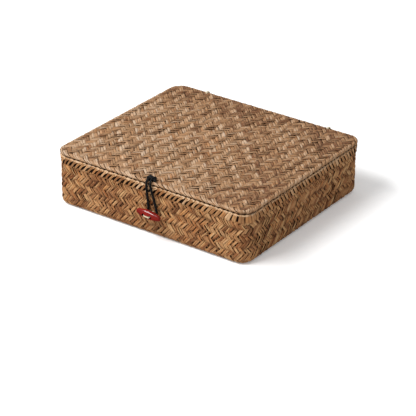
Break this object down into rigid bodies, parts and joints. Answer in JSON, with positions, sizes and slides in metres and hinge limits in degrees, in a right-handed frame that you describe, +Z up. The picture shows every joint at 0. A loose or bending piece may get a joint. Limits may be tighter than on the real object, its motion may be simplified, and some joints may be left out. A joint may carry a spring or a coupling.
{
  "type": "woven lidded box",
  "caption": "Shallow rectangular plaited seagrass box with rounded corners, a flat lid tied on along the back, a folded strand rim, and a cord loop that hooks a lacquered toggle.",
  "frame": {"origin": "middle of the flat underside of the base", "axes": "+X to the right along the closure side, +Y from the closure towards the hinge ties, +Z up"},
  "size_m": [0.28, 0.2686, 0.0767],
  "materials": {
    "seagrass": "dried plaited seagrass, satin",
    "seagrass_fold": "folded seagrass strands, satin",
    "seagrass_inner": "plaited seagrass lining, matt",
    "steel_wire": "drawn wire",
    "black_cord": "braided cord, matt",
    "red_lacquer": "glossy red lacquer on wood",
    "cream_thread": "cotton thread, matt"
  },
  "bodies": {
    "base": {"base_outer": "seagrass", "base_lining": "seagrass_inner", "base_rim_wire": "steel_wire", "base_rim_edging": "seagrass_fold", "hinge_tie_left": "cream_thread", "hinge_tie_right": "cream_thread", "toggle_shank": "cream_thread"},
    "lid": {"lid_outer": "seagrass", "lid_lining": "seagrass_inner", "lid_rim_wire": "steel_wire", "loop_knot": "black_cord"},
    "loop": {"closure_loop": "black_cord"},
    "toggle": {"toggle_bar": "red_lacquer", "toggle_stitch": "cream_thread"}
  },
  "joints": [
    {"name": "lid_open", "type": "hinge", "parent": "base", "child": "lid", "pos_m": [0, 0.1235, 0.0675], "axis": [-1, 0, 0], "range_deg": [0, 180], "deforming": ["closure_loop"]},
    {"name": "loop_swing", "type": "hinge", "parent": "lid", "child": "loop", "pos_m": [0, -0.1235, 0.0675], "axis": [1, 0, 0], "range_deg": [0, 84]},
    {"name": "toggle_turn", "type": "hinge", "parent": "base", "child": "toggle", "pos_m": [0.0074, -0.1334, 0.0313], "axis": [0, -1, 0], "range_deg": [-90, 90]}
  ],
  "couplings": [
    {"joint": "loop_swing", "follows": "lid_open", "ratio": 0.4666}
  ]
}
